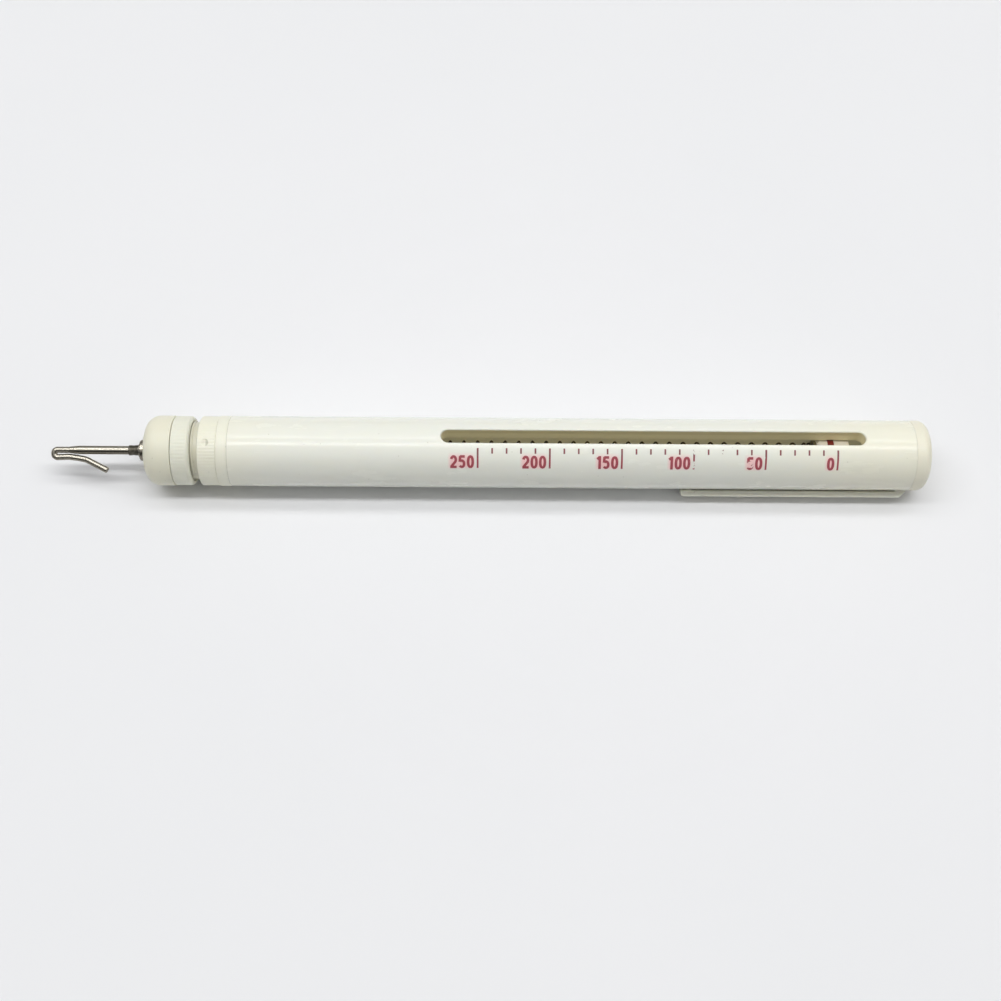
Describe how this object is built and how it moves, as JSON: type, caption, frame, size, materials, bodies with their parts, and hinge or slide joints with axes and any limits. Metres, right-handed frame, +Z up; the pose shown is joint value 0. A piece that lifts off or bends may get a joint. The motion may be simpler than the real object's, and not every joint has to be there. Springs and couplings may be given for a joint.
{
  "type": "thread tension gauge",
  "caption": "Pen-type spring gauge for thread tension: slotted barrel over a straight scale, sliding red index, wire hook on a pull rod, screw-on nose cap and pocket clip.",
  "frame": {"origin": "centre of the flat rear end face, on the barrel's axis", "axes": "+X points out of the rear end along the barrel's axis, with the hook at the -X end; +Z points up out of the window slot; -Y is the side with the scale and the clip"},
  "size_m": [0.1747, 0.0144, 0.014],
  "materials": {
    "barrel_white": "glossy moulded plastic, aged to a warm white, with a red printed scale",
    "liner_cream": "satin cream plastic, seen in shade",
    "cap_cream": "satin cream plastic, yellowed",
    "ring_white": "satin white plastic",
    "clip_white": "glossy moulded plastic, warm white",
    "bright_metal": "nickel-plated, slightly dulled",
    "rod_steel": "drawn stainless wire",
    "spring_steel": "dark oil-tempered spring wire",
    "sleeve_dark": "blackened crimped sleeve",
    "index_red": "glossy red plastic"
  },
  "bodies": {
    "body": {"barrel": "barrel_white", "guide_tube": "liner_cream", "end_cap": "cap_cream", "front_bush": "cap_cream", "neck_collar": "cap_cream"},
    "seat": {"spring_seat": "bright_metal", "spring": "spring_steel"},
    "nose": {"nose_cap": "cap_cream", "nose_bush": "bright_metal"},
    "lock": {"lock_ring": "ring_white"},
    "rod": {"pull_rod": "rod_steel", "stop_sleeve": "sleeve_dark", "hook": "rod_steel", "slider": "ring_white", "index_ring": "index_red", "spring_follower": "bright_metal", "rod_washer": "bright_metal", "rod_nut": "bright_metal"},
    "clip": {"pocket_clip": "clip_white"}
  },
  "joints": [
    {"name": "zero_travel", "type": "slide", "parent": "body", "child": "seat", "axis": [1, 0, 0], "range_m": [-0.001, 0.001]},
    {"name": "zero_turn", "type": "hinge", "parent": "seat", "child": "nose", "pos_m": [-0.1525, 0, 0], "axis": [1, 0, 0], "range_deg": [-365, 365]},
    {"name": "lock_turn", "type": "hinge", "parent": "seat", "child": "lock", "pos_m": [-0.1477, 0, 0], "axis": [1, 0, 0], "range_deg": [0, 90]},
    {"name": "rod_slide", "type": "slide", "parent": "seat", "child": "rod", "axis": [-1, 0, 0], "range_m": [0, 0.0735], "stiffness_N_per_m": 35, "deforming": ["spring"]},
    {"name": "clip_flex", "type": "hinge", "parent": "body", "child": "clip", "pos_m": [-0.0045, -0.00494, -0.00422], "axis": [0, -0.6494, 0.7604], "range_deg": [0, 3], "stiffness_Nm_per_rad": 0.3}
  ],
  "couplings": [
    {"joint": "zero_turn", "follows": "zero_travel", "rad_per_m": 6283.2}
  ]
}
